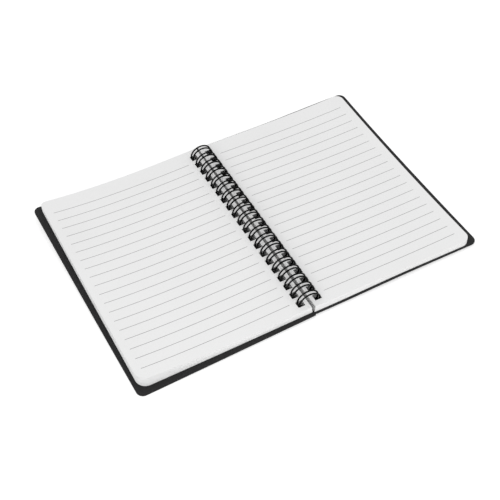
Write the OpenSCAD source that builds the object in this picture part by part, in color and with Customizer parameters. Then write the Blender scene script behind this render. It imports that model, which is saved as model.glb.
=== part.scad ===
// Open spiral notebook: two card covers, two blocks of leaves and one twin-loop wire.
// X runs across the open spread, Y along the spine away from the viewer, Z up from the table.

/* [Pages] */
// Width of a leaf, from its punched edge to its outer edge
page_w = 125; // [100:1:150]
// Length of a leaf along the spine
page_l = 176; // [140:1:215]
// Height of each block of leaves where the loops hold it
stack_h = 5.5; // [4:0.1:6.5]
// Radius of a leaf's two outer corners
page_corner_r = 7; // [3:0.5:12]
// Distance along the spine from the middle of the hole row to the middle of the left leaves
left_shift = 1.3; // [0:0.05:2]
// Distance along the spine from the middle of the hole row to the middle of the right leaves
right_shift = 1.1; // [0:0.05:2]
// Gap between the punched edges of the two blocks
page_gap = 1.6; // [1.4:0.1:2.5]
// Distance from the loops' axis to the middle of that gap, towards the right block
page_split = 0.1; // [0:0.05:0.4]

/* [Curl of the pages] */
// How far the left block sinks towards its outer edge before it curls
left_sag = 2.2; // [1:0.1:3]
// How far the left block's outer edge then curls and fans up
left_curl = 6.6; // [3.5:0.1:8]
// Turn of the left curl's axis from the spine, in degrees
left_roll = 7; // [0:1:10]
// How far the right block sinks towards its outer edge before it curls
right_sag = 2.3; // [1:0.1:3]
// How far the right block's outer edge then curls up
right_curl = 3.1; // [2:0.1:6]
// Turn of the right curl's axis from the spine, in degrees
right_roll = 8; // [0:1:10]

/* [Covers] */
// Thickness of the cover board
cover_t = 1; // [0.6:0.1:1]
// How much wider a cover is than a leaf
cover_extra_w = 6; // [4:0.1:8]
// How much longer a cover is than a leaf
cover_extra_l = 6.8; // [5:0.1:12]
// Radius of a cover's two outer corners
cover_corner_r = 5; // [3:0.5:10]
// Radius of a cover's two corners at the spine
cover_spine_r = 2; // [1:0.5:2]
// Gap between the two covers at the spine
cover_gap = 0.6; // [0.4:0.1:0.8]
// Distance from the loops' axis to the middle of that gap, towards the back cover
cover_split = 0.9; // [0:0.1:1]
// Distance along the spine from the middle of the hole row to the middle of the front cover
front_shift = 1.75; // [0:0.05:3]
// Distance along the spine from the middle of the hole row to the middle of the back cover
back_shift = 2.6; // [0:0.05:4]
// Turn of the front cover's outline against its hole row, in degrees
front_skew = 0.95; // [0:0.05:1.2]
// Height to which the front cover's far outer corner bends up
front_lift = 6.2; // [0.5:0.1:7]
// Turn of that bend's axis from the spine, in degrees
lift_roll = 20; // [0:1:25]

/* [Loops] */
// Radius of the loops' centreline
loop_r = 7.5; // [6.5:0.1:9]
// Distance from the backs of the covers down to the inside of the loops' lowest point
loop_rest = 0.5; // [0.4:0.05:0.8]
// Thickness of the coated wire
wire_d = 1; // [0.8:0.05:1.1]
// Distance between the two legs of a double loop
leg_gap = 3; // [2.6:0.1:3.2]
// Distance from one double loop to the next
loop_pitch = 8.4667; // [7.5:0.1:9.5]
// Bend radius where a leg turns into the straight piece between loops
bend_r = 1.2; // [1:0.1:1.2]
// Angle from straight down at which the legs leave that bend, in degrees
leg_start = 22; // [21:0.5:24]
// Angle from straight down at which a double loop's closed tip begins, in degrees
tip_start = 9; // [7:0.5:10]
// Room between the wire and the edges of its holes
hole_clear = 0.25; // [0.2:0.05:0.3]
// Distance from the last hole's middle to the leaf's end, at least
row_margin = 6; // [5:0.5:10]

/* [Hidden] */
$fn = 48;
paper = [0.93, 0.93, 0.93];
board = [0.18, 0.18, 0.18];
wire = [0.06, 0.06, 0.06];

wire_r = wire_d / 2;
loop_in = loop_r - wire_r;
loop_out = loop_r + wire_r;
tip_r = leg_gap / 2;
// A weld is a hair thicker than the wire and holds the ends of both pieces inside it.
weld_extra = 0.02;
weld_l = 0.3;
// The tips stand off the ring a little, so they set the height of the loops' axis.
axis_h = sqrt(loop_r * loop_r + tip_r * tip_r) + wire_r;

// Depths of the covers' backs and of the lowest leaves under the loops' axis.
cover_depth = loop_in - loop_rest;
page_depth = cover_depth - cover_t;

// Distances of the sheets' inner and outer edges from the loops' axis.
left_page_in = page_gap / 2 - page_split;
right_page_in = page_gap / 2 + page_split;
cover_w = page_w + cover_extra_w;
cover_l = page_l + cover_extra_l;
front_in = cover_gap / 2 - cover_split;
back_in = cover_gap / 2 + cover_split;
front_edge = front_in + cover_w;
back_edge = back_in + cover_w;

// Each half leans outwards until its cover's outer edge lies on the table.
function lean(edge) = asin(axis_h / norm([edge, cover_depth])) - atan(cover_depth / edge);
front_lean = lean(front_edge);
back_lean = lean(back_edge);

loop_count = floor((page_l - 2 * row_margin) / loop_pitch) + 1;
row_l = (loop_count - 1) * loop_pitch;

// The holes let the ring through over the whole thickness of the sheets.
page_hole_in = sqrt(loop_in * loop_in - page_depth * page_depth) - hole_clear;
page_hole_out = loop_out + hole_clear;
punch_w = page_hole_out - page_hole_in;
punch_l = leg_gap + wire_d + 2 * hole_clear;
cover_hole_in = sqrt(loop_in * loop_in - cover_depth * cover_depth) - hole_clear;

// Four corners of a sheet from its spine edge to its outer edge, turned by skew degrees about the hole row.
function plan(inner, outer, length, shift, skew) =
    let (near = shift - length / 2, far = shift + length / 2)
    [
        [inner, near / cos(skew) - inner * tan(skew)],
        [outer * cos(skew) + near * sin(skew), near * cos(skew) - outer * sin(skew)],
        [outer * cos(skew) + far * sin(skew), far * cos(skew) - outer * sin(skew)],
        [inner, far / cos(skew) - inner * tan(skew)]
    ];

front_plan = plan(front_in, front_edge, cover_l, front_shift, front_skew);
back_plan = plan(back_in, back_edge, cover_l, back_shift, 0);
// The hole row lies so that the covers' ends are equally far from the origin.
ends_y = [for (p = concat(front_plan, back_plan)) p[1]];
row_y = -(min(ends_y) + max(ends_y)) / 2;

// The bend of the front cover starts at lift_s and is highest at lift_end.
lift_end = front_edge * cos(lift_roll) + (front_shift + cover_l / 2) * sin(lift_roll);
lift_s = lift_end / 2;
roll_steps = 30;
roll_l = 2 * (cover_l + back_edge);
// The curled and bent faces are drawn this much wider than the sheets that they cut.
roll_spare = 1.2;
slack = 1;
block_h = stack_h + 2 * max(left_curl, right_curl) + slack;

// Height of a block's top over its cover, at a distance s across the curl.
function page_top(s, sag, curl) =
    let (k = max(s, 0) / page_w)
    stack_h - sag * k + curl * k * k * k;

// Height to which the front cover has bent up, at a distance s across the bend.
function lift(s) =
    let (k = max(s - lift_s, 0) / (lift_end - lift_s))
    front_lift * k * k;

function unit(v) = v / norm(v);

// What a radius takes off the corner p between the directions a and b.
module corner_cut(p, a, b, r) {
    n = unit(a + b);
    half = acos(a * n);
    t = r / tan(half);
    c = p + n * (r / sin(half));
    difference() {
        polygon([p + t * a, c, p + t * b, p + t * b - r * n, p - r * n, p + t * a - r * n]);
        translate(c) circle(r);
    }
}

module sheet(points, radii) {
    difference() {
        polygon(points);
        for (i = [0 : 3]) {
            if (radii[i] > 0) {
                p = points[i];
                corner_cut(p, unit(points[(i + 1) % 4] - p), unit(points[(i + 3) % 4] - p), radii[i]);
            }
        }
    }
}

module holes(inner) {
    for (i = [0 : loop_count - 1]) {
        translate([inner, i * loop_pitch - row_l / 2 - punch_l / 2]) square([punch_w, punch_l]);
    }
}

// A profile of points [distance, height], drawn out along the spine and turned from it.
module roll(points, turn) {
    rotate([0, 0, turn]) rotate([90, 0, 0]) linear_extrude(height = roll_l, center = true) polygon(points);
}

// Everything under a block's top face.
module under_top(sag, curl, turn) {
    end = back_edge * roll_spare;
    start = [[-end, -2 * cover_depth], [-end, stack_h - page_depth]];
    top = [for (i = [0 : roll_steps]) let (s = end * i / roll_steps) [s, page_top(s, sag, curl) - page_depth]];
    roll(concat(start, top, [[end, -2 * cover_depth]]), turn);
}

// Everything under the front cover's upper face, or under its lower face when down is cover_t.
module under_lift(down) {
    end = lift_end * roll_spare;
    start = [[-end, -2 * cover_depth], [-end, -page_depth - down]];
    rise = [for (i = [0 : roll_steps])
        let (s = lift_s + (end - lift_s) * i / roll_steps) [s, lift(s) - page_depth - down]];
    roll(concat(start, rise, [[end, -2 * cover_depth]]), lift_roll);
}

// Puts a half on the table, from a drawing with the loops' axis along Y and its outer edge towards +X.
module right_side() {
    translate([0, row_y, axis_h]) rotate([0, back_lean, 0]) children();
}

module left_side() {
    translate([0, row_y, axis_h]) rotate([0, -front_lean, 0]) mirror([1, 0, 0]) children();
}

module cover_plan(corners) {
    difference() {
        sheet(corners, [cover_spine_r, cover_corner_r, cover_corner_r, cover_spine_r]);
        holes(cover_hole_in);
    }
}

module page_plan(inner, shift) {
    difference() {
        sheet(plan(inner, inner + page_w, page_l, shift, 0), [0, page_corner_r, page_corner_r, 0]);
        holes(page_hole_in);
    }
}

module front_cover() {
    color(board) left_side() {
        difference() {
            intersection() {
                translate([0, 0, -cover_depth - slack]) linear_extrude(height = cover_t + front_lift + 2 * slack)
                    cover_plan(front_plan);
                under_lift(0);
            }
            under_lift(cover_t);
        }
    }
}

module back_cover() {
    color(board) right_side() {
        translate([0, 0, -cover_depth]) linear_extrude(height = cover_t) cover_plan(back_plan);
    }
}

module left_pages() {
    color(paper) left_side() {
        difference() {
            intersection() {
                translate([0, 0, -page_depth - slack]) linear_extrude(height = block_h)
                    page_plan(left_page_in, left_shift);
                under_top(left_sag, left_curl, left_roll);
            }
            under_lift(0);
        }
    }
}

module right_pages() {
    color(paper) right_side() {
        intersection() {
            translate([0, 0, -page_depth]) linear_extrude(height = block_h)
                page_plan(right_page_in, right_shift);
            under_top(right_sag, right_curl, right_roll);
        }
    }
}

// An arc of wire about Y, from one angle to another, counted from straight down towards +X.
module ring_arc(from, to) {
    rotate([90, 0, 0]) rotate_extrude(start = from - 90, angle = to - from) translate([loop_r, 0]) circle(wire_r);
}

// Goes to the ring at an angle from straight down: X along the ring, Y along the spine.
module at_ring(angle) {
    rotate([0, -angle, 0]) translate([0, 0, -loop_r]) children();
}

// The weld where two pieces of wire meet, along X at a distance y from the middle.
module weld(y) {
    for (side = [-1, 1]) {
        translate([0, side * y, 0]) rotate([0, 90, 0]) cylinder(r = wire_r + weld_extra, h = weld_l, center = true);
    }
}

// One double loop: two legs over the top, joined by the closed tip.
module double_loop() {
    for (side = [-1, 1]) {
        translate([0, side * tip_r, 0]) ring_arc(tip_start, 360 - leg_start);
    }
    at_ring(tip_start) {
        rotate_extrude(start = 90, angle = 180) translate([tip_r, 0]) circle(wire_r);
        weld(tip_r);
    }
}

// The straight piece between two double loops, with its two bends.
module link() {
    straight = loop_pitch - leg_gap - 2 * bend_r;
    at_ring(-leg_start) {
        for (side = [0, 180]) {
            rotate([side, 0, 0]) translate([0, straight / 2, 0])
                rotate_extrude(start = 0, angle = 90) translate([bend_r, 0]) circle(wire_r);
        }
        translate([bend_r, 0, 0]) rotate([90, 0, 0]) cylinder(r = wire_r, h = straight, center = true);
        weld(straight / 2 + bend_r);
    }
}

module twin_loop_wire() {
    $fn = 24;
    color(wire) translate([0, row_y, axis_h]) {
        for (i = [0 : loop_count - 1]) {
            translate([0, i * loop_pitch - row_l / 2, 0]) double_loop();
        }
        for (i = [0 : loop_count - 2]) {
            translate([0, (i + 0.5) * loop_pitch - row_l / 2, 0]) link();
        }
    }
}

front_cover();
back_cover();
left_pages();
right_pages();
twin_loop_wire();
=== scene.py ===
import bpy, bmesh, math, random
from mathutils import Matrix, Vector


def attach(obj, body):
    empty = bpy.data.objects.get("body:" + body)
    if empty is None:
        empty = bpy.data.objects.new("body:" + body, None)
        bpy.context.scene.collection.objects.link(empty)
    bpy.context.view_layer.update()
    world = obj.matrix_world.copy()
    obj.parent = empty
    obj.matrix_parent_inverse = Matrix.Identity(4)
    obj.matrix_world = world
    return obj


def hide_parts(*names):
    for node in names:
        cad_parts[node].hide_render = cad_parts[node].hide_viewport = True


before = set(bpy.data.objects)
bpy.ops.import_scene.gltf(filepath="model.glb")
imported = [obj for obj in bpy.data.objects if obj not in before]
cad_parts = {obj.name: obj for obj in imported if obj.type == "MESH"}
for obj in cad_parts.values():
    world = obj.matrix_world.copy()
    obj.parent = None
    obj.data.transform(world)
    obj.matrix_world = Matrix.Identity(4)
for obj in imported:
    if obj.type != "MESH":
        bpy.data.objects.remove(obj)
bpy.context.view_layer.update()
print("notebook: frame loaded")

scene = bpy.context.scene
scene.view_settings.view_transform = "Standard"

# sizes of the open notebook in millimetres, as in the part's source where no comment says otherwise
spread = {
    "pageWidth": 125.0,
    "pageLength": 176.0,
    "stackHeight": 5.5,
    "pageGap": 1.6,
    "pageSplit": 0.1,
    "boardThickness": 1.0,
    "boardExtraWidth": 6.0,
    "boardExtraLength": 6.8,
    "boardCorner": 5.0,
    "boardGap": 0.6,
    "boardSplit": 0.9,
    "loopRadius": 7.5,
    "loopRest": 0.5,
    "wireThickness": 1.0,
    "legGap": 3.0,
    "loopPitch": 8.4667,
    "loopCount": 20,
    # these four differ from the part's source or aren't in it
    "boardSpineCorner": 0.9,
    "boardSpineEase": 0.2,
    "holeClear": 0.45,
    "loopStretch": 1.06,
}
# the first two lines of a half are as in the source, apart from the right half's pageShift
# the other two lines are the scene's own
halves = {
    "left": {
        "turn": -1, "sag": 2.2, "curl": 6.6, "roll": 7.0,
        "pageShift": 1.3, "boardShift": 1.75, "skew": 0.95,
        "sink": (-0.1, -0.75, 0.15), "corners": (7.0, 4.5),
        "nearSplay": (0.2, 0.6), "farSplay": (0.5, 0.0),
    },
    "right": {
        "turn": 1, "sag": 2.3, "curl": 3.1, "roll": 8.0,
        "pageShift": 0.7, "boardShift": 2.6, "skew": 0.0,
        "sink": (-1.1, -0.25, 2.05), "corners": (5.5, 5.5),
        "nearSplay": (0.4, -0.3), "farSplay": (0.0, -0.3),
    },
}
# the front cover's far outer corner is lifted, as in the source
lift = {"height": 6.2, "roll": 20.0}
# the back cover's near and far ends curl up, which only the scene has
warp = {
    "middle": 12.0,
    "near": {"turn": -1, "height": 1.5, "from": 8.0, "to": 80.0},
    "far": {"turn": 1, "height": 2.0, "from": 50.0, "to": 132.0},
}

wireRadius = spread["wireThickness"] / 2
ringInside = spread["loopRadius"] - wireRadius
ringOutside = (spread["loopRadius"] + wireRadius) * spread["loopStretch"]
tipRadius = spread["legGap"] / 2
axisHeight = math.hypot(spread["loopRadius"], tipRadius) + wireRadius
boardDepth = ringInside - spread["loopRest"]
pageDepth = boardDepth - spread["boardThickness"]
boardWidth = spread["pageWidth"] + spread["boardExtraWidth"]
boardLength = spread["pageLength"] + spread["boardExtraLength"]
rowLength = (spread["loopCount"] - 1) * spread["loopPitch"]
pageHoleInside = math.sqrt(ringInside ** 2 - pageDepth ** 2) - spread["holeClear"]
boardHoleInside = math.sqrt(ringInside ** 2 - boardDepth ** 2) - spread["holeClear"]
holeWidth = ringOutside + spread["holeClear"] - pageHoleInside
holeLength = spread["legGap"] + spread["wireThickness"] + 2 * spread["holeClear"]
holeMiddles = [i * spread["loopPitch"] - rowLength / 2 for i in range(spread["loopCount"])]
for half in halves.values():
    half["pageInner"] = spread["pageGap"] / 2 + half["turn"] * spread["pageSplit"]
    half["boardInner"] = spread["boardGap"] / 2 + half["turn"] * spread["boardSplit"]
    half["boardEdge"] = half["boardInner"] + boardWidth
    half["lean"] = (math.asin(axisHeight / math.hypot(boardDepth, half["boardEdge"]))
                    - math.atan(boardDepth / half["boardEdge"]))


def sheetCorners(inner, outer, length, shift, skew):
    # four corners of a sheet from its spine edge to its outer edge, turned about the hole row
    sin, cos = math.sin(math.radians(skew)), math.cos(math.radians(skew))
    near, far = shift - length / 2, shift + length / 2
    return [
        (inner, near / cos - inner * sin / cos),
        (outer * cos + near * sin, near * cos - outer * sin),
        (outer * cos + far * sin, far * cos - outer * sin),
        (inner, far / cos - inner * sin / cos),
    ]


def boardCorners(side):
    half = halves[side]
    inner = half["boardInner"] - spread["boardSpineEase"]
    return sheetCorners(inner, half["boardEdge"], boardLength, half["boardShift"], half["skew"])


def pageCorners(side):
    half = halves[side]
    outer = half["pageInner"] + spread["pageWidth"]
    return sheetCorners(half["pageInner"], outer, spread["pageLength"], half["pageShift"], 0)


boardEnds = [y for side in halves for u, y in boardCorners(side)]
rowY = -(min(boardEnds) + max(boardEnds)) / 2
liftFar = halves["left"]["boardShift"] + boardLength / 2
liftTurn = math.radians(lift["roll"])
liftEnd = halves["left"]["boardEdge"] * math.cos(liftTurn) + liftFar * math.sin(liftTurn)
liftStart = liftEnd / 2


def across(u, y, degrees):
    # distance across a curl whose axis is turned from the spine
    return u * math.cos(math.radians(degrees)) + y * math.sin(math.radians(degrees))


def coverTop(side, u, y):
    if side == "right":
        # the back cover's near and far ends curl up a little, away from the loops
        end = warp["near"] if y < warp["middle"] else warp["far"]
        away = min(max((u - end["from"]) / (end["to"] - end["from"]), 0), 1)
        boardEnd = halves["right"]["boardShift"] + end["turn"] * boardLength / 2
        bend = (y - warp["middle"]) / (boardEnd - warp["middle"])
        return end["height"] * away * away * (3 - 2 * away) * bend * bend - pageDepth
    k = max(across(u, y, lift["roll"]) - liftStart, 0) / (liftEnd - liftStart)
    return lift["height"] * k * k - pageDepth


def pageTop(side, u, y):
    half = halves[side]
    k = max(across(u, y, half["roll"]), 0) / spread["pageWidth"]
    # a shallow bow along the spine that grows towards the outer edge
    out, along = u / spread["pageWidth"], 2 * y / spread["pageLength"]
    bow = out * (half["sink"][0] + half["sink"][1] * along + half["sink"][2] * along * along)
    return half["curl"] * k ** 3 - half["sag"] * k + bow + spread["stackHeight"] - pageDepth


def halfPlace(side):
    # from a half's own millimetres to its place on the table, in metres
    turn = halves[side]["turn"]
    return (Matrix.Scale(0.001, 4) @ Matrix.Translation((0, rowY, axisHeight))
            @ Matrix.Rotation(turn * halves[side]["lean"], 4, "Y") @ Matrix.Scale(turn, 4, (1, 0, 0)))


# camera and light
cameraSet = {
    "at": (-223.67, -447.2, 538.49),
    "forward": (0.2934, 0.5923, -0.7504),
    "up": (0.3669, 0.6551, 0.6605),
    "lens": 74.47,
    "sensor": 36,
    "clip": 0.01,
}
camera = bpy.data.objects.new("camera", bpy.data.cameras.new("camera"))
scene.collection.objects.link(camera)
camera.data.lens = cameraSet["lens"]
camera.data.sensor_width = cameraSet["sensor"]
camera.data.sensor_fit = "HORIZONTAL"
camera.data.clip_start = cameraSet["clip"]
back = -Vector(cameraSet["forward"]).normalized()
toRight = Vector(cameraSet["up"]).cross(back).normalized()
turned = Matrix((toRight, back.cross(toRight), back)).transposed().to_4x4()
turned.translation = (Vector(cameraSet["at"]) + Vector((0, rowY, axisHeight))) * 0.001
camera.matrix_world = turned
scene.camera = camera

lightSet = {
    "dome": 0.78,
    "window": {"at": (-0.65, -1.15, 0.85), "size": 1.2, "power": 8.8},
    "floor": {"size": 3.0, "tone": 0.85, "glow": 0.4},
}
world = bpy.data.worlds.new("studio")
world.use_nodes = True
scene.world = world
nodes, links = world.node_tree.nodes, world.node_tree.links
nodes.clear()
worldOut = nodes.new("ShaderNodeOutputWorld")
dome = nodes.new("ShaderNodeBackground")
dome.inputs["Strength"].default_value = lightSet["dome"]
white = nodes.new("ShaderNodeBackground")
mixed = nodes.new("ShaderNodeMixShader")
path = nodes.new("ShaderNodeLightPath")
for background in (dome, white):
    background.inputs["Color"].default_value = (1, 1, 1, 1)
links.new(path.outputs["Is Camera Ray"], mixed.inputs[0])
links.new(dome.outputs[0], mixed.inputs[1])
links.new(white.outputs[0], mixed.inputs[2])
links.new(mixed.outputs[0], worldOut.inputs["Surface"])

window = bpy.data.objects.new("window", bpy.data.lights.new("window", "AREA"))
scene.collection.objects.link(window)
window.data.shape = "DISK"
window.data.size = lightSet["window"]["size"]
window.data.energy = lightSet["window"]["power"]
window.location = lightSet["window"]["at"]
window.rotation_euler = (-window.location).to_track_quat("-Z", "Y").to_euler()

floorMesh = bmesh.new()
bmesh.ops.create_grid(floorMesh, x_segments=1, y_segments=1, size=lightSet["floor"]["size"])
floor = bpy.data.objects.new("floor", bpy.data.meshes.new("floor"))
floorMesh.to_mesh(floor.data)
floorMesh.free()
scene.collection.objects.link(floor)
# the table glows a little only to the camera and in reflections, so that it shows white
floorFinish = bpy.data.materials.new("white table")
floorFinish.use_nodes = True
nodes, links = floorFinish.node_tree.nodes, floorFinish.node_tree.links
nodes.clear()
floorOut = nodes.new("ShaderNodeOutputMaterial")
table = nodes.new("ShaderNodeBsdfDiffuse")
tone = lightSet["floor"]["tone"]
table.inputs["Color"].default_value = (tone, tone, tone, 1)
glow = nodes.new("ShaderNodeEmission")
glow.inputs["Strength"].default_value = lightSet["floor"]["glow"]
none = nodes.new("ShaderNodeEmission")
none.inputs["Strength"].default_value = 0.0
choose = nodes.new("ShaderNodeMixShader")
both = nodes.new("ShaderNodeAddShader")
path = nodes.new("ShaderNodeLightPath")
seen = nodes.new("ShaderNodeMath")
seen.operation = "MAXIMUM"
links.new(path.outputs["Is Camera Ray"], seen.inputs[0])
links.new(path.outputs["Is Glossy Ray"], seen.inputs[1])
links.new(seen.outputs[0], choose.inputs[0])
links.new(none.outputs[0], choose.inputs[1])
links.new(glow.outputs[0], choose.inputs[2])
links.new(table.outputs[0], both.inputs[0])
links.new(choose.outputs[0], both.inputs[1])
links.new(both.outputs[0], floorOut.inputs["Surface"])
floor.data.materials.append(floorFinish)
print("notebook: camera and light set")


# finishes
grainSet = {
    "detail": 4, "roughness": 0.65, "cloudScale": 22, "cloudDetail": 2,
    "rampFrom": 0.3, "rampTo": 0.7,
}


def fineGrain():
    # fine uneven grain as a mask for colour, roughness and bump, and a broad cloud for colour
    group = bpy.data.node_groups.new("fine grain", "ShaderNodeTree")
    group.interface.new_socket("Scale", in_out="INPUT", socket_type="NodeSocketFloat")
    group.interface.new_socket("Stretch", in_out="INPUT", socket_type="NodeSocketVector")
    group.interface.new_socket("Mask", in_out="OUTPUT", socket_type="NodeSocketFloat")
    group.interface.new_socket("Cloud", in_out="OUTPUT", socket_type="NodeSocketFloat")
    given = group.nodes.new("NodeGroupInput")
    made = group.nodes.new("NodeGroupOutput")
    place = group.nodes.new("ShaderNodeTexCoord")
    drawn = group.nodes.new("ShaderNodeVectorMath")
    drawn.operation = "MULTIPLY"
    grain = group.nodes.new("ShaderNodeTexNoise")
    grain.inputs["Detail"].default_value = grainSet["detail"]
    grain.inputs["Roughness"].default_value = grainSet["roughness"]
    cloud = group.nodes.new("ShaderNodeTexNoise")
    cloud.inputs["Scale"].default_value = grainSet["cloudScale"]
    cloud.inputs["Detail"].default_value = grainSet["cloudDetail"]
    group.links.new(place.outputs["Object"], drawn.inputs[0])
    group.links.new(given.outputs["Stretch"], drawn.inputs[1])
    group.links.new(drawn.outputs[0], grain.inputs["Vector"])
    group.links.new(given.outputs["Scale"], grain.inputs["Scale"])
    group.links.new(place.outputs["Object"], cloud.inputs["Vector"])
    group.links.new(grain.outputs["Fac"], made.inputs["Mask"])
    group.links.new(cloud.outputs["Fac"], made.inputs["Cloud"])
    return group


grainGroup = fineGrain()


def finish(name, look):
    # a Principled finish whose colour, roughness and bump follow the grain
    material = bpy.data.materials.new(name)
    material.use_nodes = True
    nodes, links = material.node_tree.nodes, material.node_tree.links
    shader = nodes["Principled BSDF"]
    grain = nodes.new("ShaderNodeGroup")
    grain.node_tree = grainGroup
    grain.inputs["Scale"].default_value = look["grain"]
    grain.inputs["Stretch"].default_value = look["stretch"]
    colour = nodes.new("ShaderNodeValToRGB")
    colour.color_ramp.elements[0].position = grainSet["rampFrom"]
    colour.color_ramp.elements[1].position = grainSet["rampTo"]
    colour.color_ramp.elements[0].color = (*look["dark"], 1)
    colour.color_ramp.elements[1].color = (*look["light"], 1)
    cloudy = nodes.new("ShaderNodeMath")
    cloudy.operation = "MULTIPLY_ADD"
    cloudy.inputs[1].default_value = look["cloud"]
    rough = nodes.new("ShaderNodeMapRange")
    rough.inputs["To Min"].default_value = look["rough"][0]
    rough.inputs["To Max"].default_value = look["rough"][1]
    bump = nodes.new("ShaderNodeBump")
    bump.inputs["Strength"].default_value = look["bump"]
    bump.inputs["Distance"].default_value = look["height"]
    links.new(grain.outputs["Cloud"], cloudy.inputs[0])
    links.new(grain.outputs["Mask"], cloudy.inputs[2])
    links.new(cloudy.outputs[0], colour.inputs["Fac"])
    links.new(colour.outputs["Color"], shader.inputs["Base Color"])
    links.new(grain.outputs["Mask"], rough.inputs["Value"])
    links.new(rough.outputs["Result"], shader.inputs["Roughness"])
    links.new(grain.outputs["Mask"], bump.inputs["Height"])
    links.new(bump.outputs["Normal"], shader.inputs["Normal"])
    shader.inputs["Specular IOR Level"].default_value = look["specular"]
    return material


paperFinish = finish("white paper", {
    "dark": (0.82, 0.82, 0.82), "light": (0.88, 0.88, 0.88),
    "grain": 1800, "stretch": (1, 1, 1), "cloud": 0.25, "rough": (0.8, 0.92),
    "bump": 0.12, "height": 0.00003, "specular": 0.25})
# painted light: the stack's cut edges are the same paper as the top leaf, painted a little lighter so that
# the walls, which get less light, show as bright as the top
edgeFinishPaintedLighter = finish("cut paper edges", {
    "dark": (0.85, 0.85, 0.85), "light": (0.89, 0.89, 0.89),
    "grain": 900, "stretch": (0.2, 0.2, 6), "cloud": 0.2, "rough": (0.8, 0.95),
    "bump": 0.2, "height": 0.00003, "specular": 0.2})
inkFinish = finish("grey ruling ink", {
    "dark": (0.31, 0.31, 0.31), "light": (0.39, 0.39, 0.39),
    "grain": 2500, "stretch": (1, 1, 1), "cloud": 0.3, "rough": (0.75, 0.9),
    "bump": 0.0, "height": 0.00001, "specular": 0.2})
boardFinish = finish("dark grey board", {
    "dark": (0.006, 0.006, 0.0062), "light": (0.017, 0.017, 0.0176),
    "grain": 2200, "stretch": (1, 1, 1), "cloud": 0.3, "rough": (0.5, 0.72),
    "bump": 0.35, "height": 0.00006, "specular": 0.25})
wireFinish = finish("black coated wire", {
    "dark": (0.001, 0.001, 0.001), "light": (0.003, 0.003, 0.003),
    "grain": 600, "stretch": (1, 1, 1), "cloud": 0.2, "rough": (0.3, 0.4),
    "bump": 0.05, "height": 0.00002, "specular": 0.06})
# painted shade: the paper walls of the punched holes are painted near black, standing in for the shadow
# inside the holes
holeWallPaintedShade = finish("painted shade on hole walls", {
    "dark": (0.004, 0.004, 0.004), "light": (0.012, 0.012, 0.012),
    "grain": 900, "stretch": (0.2, 0.2, 6), "cloud": 0.2, "rough": (0.85, 0.95),
    "bump": 0.1, "height": 0.00003, "specular": 0.1})
# painted shade: the paper of the stacks' spine edges is painted dark grey, standing in for the shade in
# the gap between the two stacks
spineEdgePaintedShade = finish("painted shade on spine edges", {
    "dark": (0.18, 0.18, 0.18), "light": (0.26, 0.26, 0.26),
    "grain": 900, "stretch": (0.2, 0.2, 6), "cloud": 0.2, "rough": (0.85, 0.95),
    "bump": 0.1, "height": 0.00003, "specular": 0.1})
print("notebook: finishes made")


# shared making
sheet = {
    "holeMargin": 1.2, "smallCorner": 3.0, "smallCornerSteps": 4, "cornerSteps": 8,
    "sameSpot": 1e-4, "cutReach": 1e-5,
}


def smooth(piece, degrees):
    piece.data.shade_smooth()
    piece.data.set_sharp_from_angle(angle=math.radians(degrees))


def addPiece(name, bm, body, slot, finishes, matrix, *replaced):
    bmesh.ops.transform(bm, matrix=matrix, verts=bm.verts)
    if matrix.determinant() < 0:
        bmesh.ops.reverse_faces(bm, faces=bm.faces)
    mesh = bpy.data.meshes.new(name)
    bm.to_mesh(mesh)
    bm.free()
    for material in finishes:
        mesh.materials.append(material)
    piece = bpy.data.objects.new(name, mesh)
    scene.collection.objects.link(piece)
    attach(piece, body)
    if replaced:
        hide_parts(*replaced)
    return piece


def cutAcross(bm, geom, place, way):
    bmesh.ops.bisect_plane(bm, geom=geom, dist=sheet["cutReach"], plane_co=place, plane_no=way)


def sheetBlank(corners, radii, uCuts, yCuts, holeInside):
    # a flat sheet with rounded corners, cut for bending and punched for the loops
    bm = bmesh.new()
    bm.faces.new([bm.verts.new((u, y, 0)) for u, y in corners])
    bm.verts.ensure_lookup_table()
    for radius in sorted(set(radii) - {0}):
        marked = [v for v in bm.verts for c, r in zip(corners, radii)
                  if r == radius and math.hypot(v.co.x - c[0], v.co.y - c[1]) < sheet["sameSpot"]]
        steps = sheet["cornerSteps"] if radius > sheet["smallCorner"] else sheet["smallCornerSteps"]
        bmesh.ops.bevel(bm, geom=marked, offset=radius, offset_type="OFFSET", affect="VERTICES",
                        segments=steps, profile=0.5, material=-1)
    holeOutside = holeInside + holeWidth
    marginEnd = holeOutside + sheet["holeMargin"]
    for u in sorted(uCuts + [holeInside, holeOutside, marginEnd]):
        cutAcross(bm, bm.verts[:] + bm.edges[:] + bm.faces[:], (u, 0, 0), (1, 0, 0))
    for y in yCuts:
        cutAcross(bm, bm.verts[:] + bm.edges[:] + bm.faces[:], (0, y, 0), (0, 1, 0))
    for middle in holeMiddles:
        for y in (middle - holeLength / 2, middle + holeLength / 2):
            faces = [f for f in bm.faces if f.calc_center_median().x < marginEnd]
            edges = list({e for f in faces for e in f.edges})
            verts = list({v for f in faces for v in f.verts})
            cutAcross(bm, verts + edges + faces, (0, y, 0), (0, 1, 0))
    punched = [f for f in bm.faces
               if holeInside < f.calc_center_median().x < holeOutside
               and any(abs(f.calc_center_median().y - m) < holeLength / 2 for m in holeMiddles)]
    bmesh.ops.delete(bm, geom=punched, context="FACES")
    return bm


def thicken(bm, thickness):
    grown = bmesh.ops.extrude_face_region(bm, geom=bm.faces[:], use_keep_orig=True)
    upper = [v for v in grown["geom"] if isinstance(v, bmesh.types.BMVert)]
    bmesh.ops.translate(bm, vec=(0, 0, thickness), verts=upper)
    bmesh.ops.recalc_face_normals(bm, faces=bm.faces)


# covers
board = {
    "rimBevel": 0.16, "rimAngle": 1.2, "rimSlope": 0.5, "sharp": 35,
    "uFirst": 12.0, "uStep": 5.0, "yFirst": 6.0, "yStep": 9.0,
}


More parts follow.
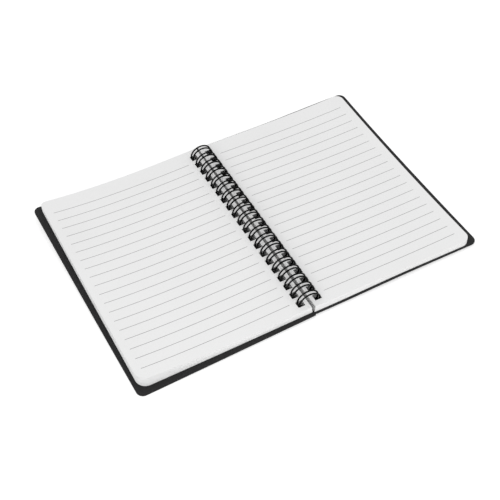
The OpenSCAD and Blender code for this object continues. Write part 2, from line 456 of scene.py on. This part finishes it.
def makeCover(side, name, body, node):
    near = halves[side]["boardShift"] - boardLength / 2
    spineCorner, outerCorner = spread["boardSpineCorner"], spread["boardCorner"]
    uCuts = [board["uFirst"] + i * board["uStep"] for i in range(int(boardWidth / board["uStep"]) - 2)]
    yCuts = [near + board["yFirst"] + i * board["yStep"] for i in range(int(boardLength / board["yStep"]))]
    bm = sheetBlank(boardCorners(side), [spineCorner, outerCorner, outerCorner, spineCorner], uCuts, yCuts,
                    boardHoleInside)
    thicken(bm, spread["boardThickness"])
    rim = [e for e in bm.edges if len(e.link_faces) == 2 and e.calc_face_angle(0) > board["rimAngle"]
           and abs(e.link_faces[0].normal.z - e.link_faces[1].normal.z) > board["rimSlope"]]
    bmesh.ops.bevel(bm, geom=rim, offset=board["rimBevel"], offset_type="OFFSET", affect="EDGES",
                    segments=2, profile=0.5, material=-1)
    for v in bm.verts:
        v.co.z += coverTop(side, v.co.x, v.co.y) - spread["boardThickness"]
    piece = addPiece(name, bm, body, "cover_board", [boardFinish], halfPlace(side), node)
    smooth(piece, board["sharp"])


makeCover("left", "front_board", "front_half", "front_cover")
makeCover("right", "back_board", "back_half", "back_cover")
print("notebook: covers made")


# leaves, of which the count includes the printed top leaf
leaves = {
    "count": 52, "thickness": 0.098, "jitter": 0.07, "wave": 0.014, "waveLength": 145.0,
    "seed": 11, "sharp": 30,
    "cuts": {"uFirst": 20.0, "uStep": 8.5, "uCount": 12, "yFirst": 11.0, "yStep": 17.0, "yCount": 10},
    "topCuts": {"uFirst": 13.0, "uStep": 4.5, "uCount": 25, "yFirst": 9.0, "yStep": 8.4, "yCount": 20},
    "upright": 0.5, "holeReach": 0.5, "rowReach": 4.0, "spineReach": 0.4,
    "fanNear": 0.45, "fanFar": 0.05,
}


def paintShadeOnWalls(bm, side):
    # the walls of the punched holes and the spine edges lie in the shadow of the wire, so they get painted
    # shade: near black on the hole walls, dark grey on the spine edges
    low, high = pageHoleInside - leaves["holeReach"], ringOutside + leaves["holeReach"]
    spineEdge = halves[side]["pageInner"] + leaves["spineReach"]
    for f in bm.faces:
        middle = f.calc_center_median()
        upright = abs(f.normal.z) < leaves["upright"]
        if upright and low < middle.x < high and abs(middle.y) < rowLength / 2 + leaves["rowReach"]:
            # painted near-black shade on the hole walls
            f.material_index = 1
        elif upright and middle.x < spineEdge:
            # painted dark grey shade on the spine edges
            f.material_index = 2


def leafPlace(side, u, y, level):
    # the upper leaves lie back from the spine, most at its near end, and the outer corners splay a little
    half = halves[side]
    spine = min(max((pageHoleInside - u) / (pageHoleInside - half["pageInner"]), 0), 1)
    outer = (u / (half["pageInner"] + spread["pageWidth"])) ** 3
    near = 0.5 - y / spread["pageLength"]
    fan = leaves["fanFar"] + (leaves["fanNear"] - leaves["fanFar"]) * near
    splay = [near * n + (1 - near) * f for n, f in zip(half["nearSplay"], half["farSplay"])]
    return u + fan * spine * level * level + splay[0] * outer, y + splay[1] * outer


def leafBlank(side, cuts):
    nearCorner, farCorner = halves[side]["corners"]
    near = halves[side]["pageShift"] - spread["pageLength"] / 2
    uCuts = [cuts["uFirst"] + cuts["uStep"] * i for i in range(cuts["uCount"])]
    yCuts = [near + cuts["yFirst"] + cuts["yStep"] * i for i in range(cuts["yCount"])]
    bm = sheetBlank(pageCorners(side), [0, nearCorner, farCorner, 0], uCuts, yCuts, pageHoleInside)
    thicken(bm, leaves["thickness"])
    paintShadeOnWalls(bm, side)
    return bm


def makeLeaves(side, name, topName, body, node):
    chance = random.Random(leaves["seed"] + halves[side]["turn"])
    edge = halves[side]["pageInner"] + spread["pageWidth"]
    blank = leafBlank(side, leaves["cuts"])
    blankMesh = bpy.data.meshes.new("leaf blank")
    blank.to_mesh(blankMesh)
    blank.free()
    stack = bmesh.new()
    count = leaves["count"]
    for k in range(count - 1):
        before = len(stack.verts)
        stack.from_mesh(blankMesh)
        stack.verts.ensure_lookup_table()
        shiftU = chance.uniform(-1, 1) * leaves["jitter"]
        shiftY = chance.uniform(-1, 1) * leaves["jitter"]
        phase, bend = chance.uniform(0, math.tau), chance.uniform(-1, 1) * leaves["wave"]
        level = k / (count - 1)
        for v in stack.verts[before:]:
            u, y = leafPlace(side, v.co.x, v.co.y, level)
            low, high = coverTop(side, u, y), pageTop(side, u, y) - leaves["thickness"]
            wave = bend * (u / edge) ** 3 * math.sin(math.tau * y / leaves["waveLength"] + phase)
            v.co = (u + shiftU, y + shiftY, v.co.z + low + (high - low) * level + wave)
    bpy.data.meshes.remove(blankMesh)
    # the stack's edges carry painted light; its hole walls and spine edges carry painted shade
    finishes = [edgeFinishPaintedLighter, holeWallPaintedShade, spineEdgePaintedShade]
    block = addPiece(name, stack, body, "page_paper", finishes, halfPlace(side), node)
    smooth(block, leaves["sharp"])

    top = leafBlank(side, leaves["topCuts"])
    for v in top.verts:
        u, y = leafPlace(side, v.co.x, v.co.y, 1)
        v.co = (u, y, v.co.z + pageTop(side, u, y) - leaves["thickness"])
    # the top leaf's hole walls and spine edges carry painted shade
    finishes = [paperFinish, holeWallPaintedShade, spineEdgePaintedShade]
    leaf = addPiece(topName, top, body, "page_paper", finishes, halfPlace(side), node)
    smooth(leaf, leaves["sharp"])


makeLeaves("left", "left_leaves", "left_top_leaf", "front_half", "left_pages")
makeLeaves("right", "right_leaves", "right_top_leaf", "back_half", "right_pages")
print("notebook: leaves made")


# printed ruling
ruling = {
    "left": {"first": 75.6, "step": 8.52, "count": 19, "from": 13.1, "to": 120.6},
    "right": {"first": 75.4, "step": 8.52, "count": 19, "from": 13.1, "to": 119.3},
    "width": 0.42,
    "proud": 0.012,
    "steps": 30,
}


def makeRuling(side, name, body):
    lines = ruling[side]
    bm = bmesh.new()
    for k in range(lines["count"]):
        y = lines["first"] - k * lines["step"]
        length = lines["to"] - lines["from"]
        middle = Matrix.Translation((lines["from"] + length / 2, y, 0))
        # a grid one millimetre square, drawn out to the line's length and width
        place = middle @ Matrix.Diagonal((length, ruling["width"], 1, 1))
        bmesh.ops.create_grid(bm, x_segments=ruling["steps"], y_segments=1, size=0.5, matrix=place)
    for v in bm.verts:
        v.co.z = pageTop(side, v.co.x, v.co.y) + ruling["proud"]
    addPiece(name, bm, body, "page_paper", [inkFinish], halfPlace(side))


makeRuling("left", "left_ruling", "front_half")
makeRuling("right", "right_ruling", "back_half")
print("notebook: ruling printed")


# twin-loop wire
wire = {
    "coat": 0.06, "bendRadius": 1.2, "legStart": 22.0, "tipStart": 9.0,
    "section": 14, "ringSteps": 56, "tipSteps": 12, "bendSteps": 7,
    "sameSpot": 1e-4, "sharp": 50,
}


def ringPoint(angle):
    a = math.radians(angle)
    radius = spread["loopRadius"] - wire["coat"]
    return Vector((radius * math.sin(a), 0, -radius * math.cos(a)))


def ringFrame(angle):
    # along the ring, along the spine, outwards
    a = math.radians(angle)
    along = Vector((math.cos(a), 0, math.sin(a)))
    outward = Vector((math.sin(a), 0, -math.cos(a)))
    return along, Vector((0, 1, 0)), outward


def wireTurn(bm, ends, centre, axis, angle, steps):
    made = bmesh.ops.spin(bm, geom=ends, cent=centre, axis=axis, angle=math.radians(angle),
                          steps=steps, use_duplicate=False)
    return [g for g in made["geom_last"] if isinstance(g, (bmesh.types.BMVert, bmesh.types.BMEdge))]


def wirePull(bm, ends, way):
    edges = [g for g in ends if isinstance(g, bmesh.types.BMEdge)]
    made = bmesh.ops.extrude_edge_only(bm, edges=edges)["geom"]
    made = [g for g in made if isinstance(g, (bmesh.types.BMVert, bmesh.types.BMEdge))]
    bmesh.ops.translate(bm, vec=way, verts=[g for g in made if isinstance(g, bmesh.types.BMVert)])
    last = {g for g in made if isinstance(g, bmesh.types.BMVert)}
    return list(last) + [e for e in bm.edges if e.verts[0] in last and e.verts[1] in last]


def makeWire():
    bm = bmesh.new()
    along, spine, outward = ringFrame(-wire["legStart"])
    spineY = Vector((0, 1, 0))
    firstLeg = -rowLength / 2 - tipRadius
    section = Matrix((spine, outward, along)).transposed().to_4x4()
    section.translation = ringPoint(-wire["legStart"]) + spineY * firstLeg
    bmesh.ops.create_circle(bm, cap_ends=False, segments=wire["section"], radius=wireRadius + wire["coat"],
                            matrix=section)
    ends = bm.verts[:] + bm.edges[:]
    sweep = 360 - wire["legStart"] - wire["tipStart"]
    straight = spread["loopPitch"] - spread["legGap"] - 2 * wire["bendRadius"]
    for k in range(spread["loopCount"]):
        middle = k * spread["loopPitch"] - rowLength / 2
        ends = wireTurn(bm, ends, (0, 0, 0), spineY, sweep, wire["ringSteps"])
        tipCentre = ringPoint(wire["tipStart"]) + spineY * middle
        ends = wireTurn(bm, ends, tipCentre, ringFrame(wire["tipStart"])[2], 180, wire["tipSteps"])
        ends = wireTurn(bm, ends, (0, 0, 0), spineY, -sweep, wire["ringSteps"])
        if k < spread["loopCount"] - 1:
            # known fault: the link's two bends turn the wrong way round the ring, into the front cover
            start = ringPoint(-wire["legStart"])
            bendY = middle + tipRadius + wire["bendRadius"]
            ends = wireTurn(bm, ends, start + spineY * bendY, outward, 90, wire["bendSteps"])
            ends = wirePull(bm, ends, spineY * straight)
            ends = wireTurn(bm, ends, start + spineY * (bendY + straight), outward, 90, wire["bendSteps"])
    bmesh.ops.remove_doubles(bm, verts=bm.verts, dist=wire["sameSpot"])
    bmesh.ops.holes_fill(bm, edges=bm.edges, sides=wire["section"])
    bmesh.ops.recalc_face_normals(bm, faces=bm.faces)
    bmesh.ops.scale(bm, vec=(spread["loopStretch"], 1, 1), verts=bm.verts)
    place = Matrix.Scale(0.001, 4) @ Matrix.Translation((0, rowY, axisHeight))
    piece = addPiece("twin_loops", bm, "binding", "black_wire", [wireFinish], place, "twin_loop_wire")
    smooth(piece, wire["sharp"])


makeWire()
print("notebook: wire wound")
